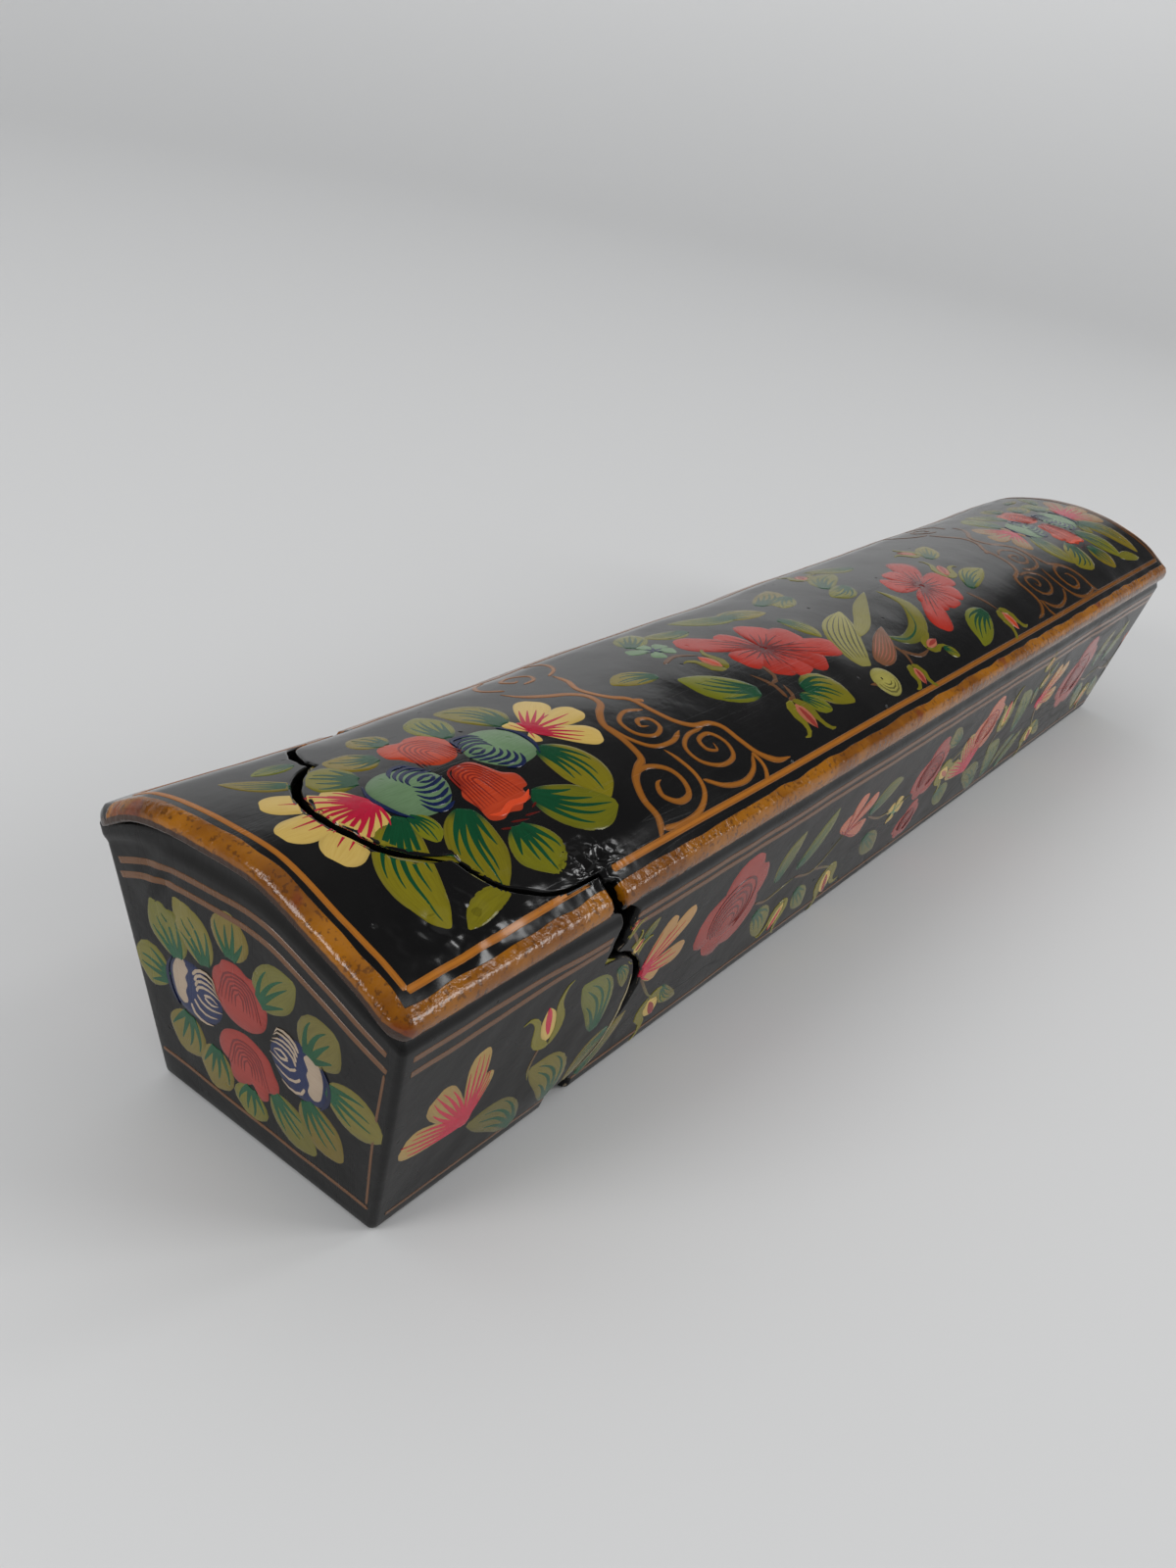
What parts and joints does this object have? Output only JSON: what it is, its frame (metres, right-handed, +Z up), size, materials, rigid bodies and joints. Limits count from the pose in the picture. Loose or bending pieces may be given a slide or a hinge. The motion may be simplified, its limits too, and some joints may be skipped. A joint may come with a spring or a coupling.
{
  "type": "pen box",
  "caption": "Long lacquered papier-mache pen box with a vaulted top, a scalloped pull-off cap and an inner tray that slides out with it.",
  "frame": {"origin": "middle of the underside", "axes": "+X along the box, from the pull-off cap to the closed end; +Z up, through the vaulted top; -Y the long side that faces the viewer"},
  "size_m": [0.2522, 0.0472, 0.0431],
  "materials": {
    "black_lacquer": "gloss",
    "painted_top": "gloss",
    "tray_wash": "matte"
  },
  "bodies": {
    "case": {"case_front_wall": "black_lacquer", "case_back_wall": "black_lacquer", "case_end_wall": "black_lacquer", "case_floor": "black_lacquer", "case_vault": "painted_top"},
    "cap_and_tray": {"cap_front_wall": "black_lacquer", "cap_back_wall": "black_lacquer", "cap_end_wall": "black_lacquer", "cap_floor": "black_lacquer", "cap_vault": "painted_top", "tray_floor": "tray_wash", "tray_front_wall": "tray_wash", "tray_back_wall": "tray_wash", "tray_cap_end": "tray_wash", "tray_inner_end": "tray_wash", "tray_partition": "tray_wash"}
  },
  "joints": [
    {"name": "tray_pull", "type": "slide", "parent": "case", "child": "cap_and_tray", "axis": [-1, 0, 0], "range_m": [0, 0.225]}
  ]
}
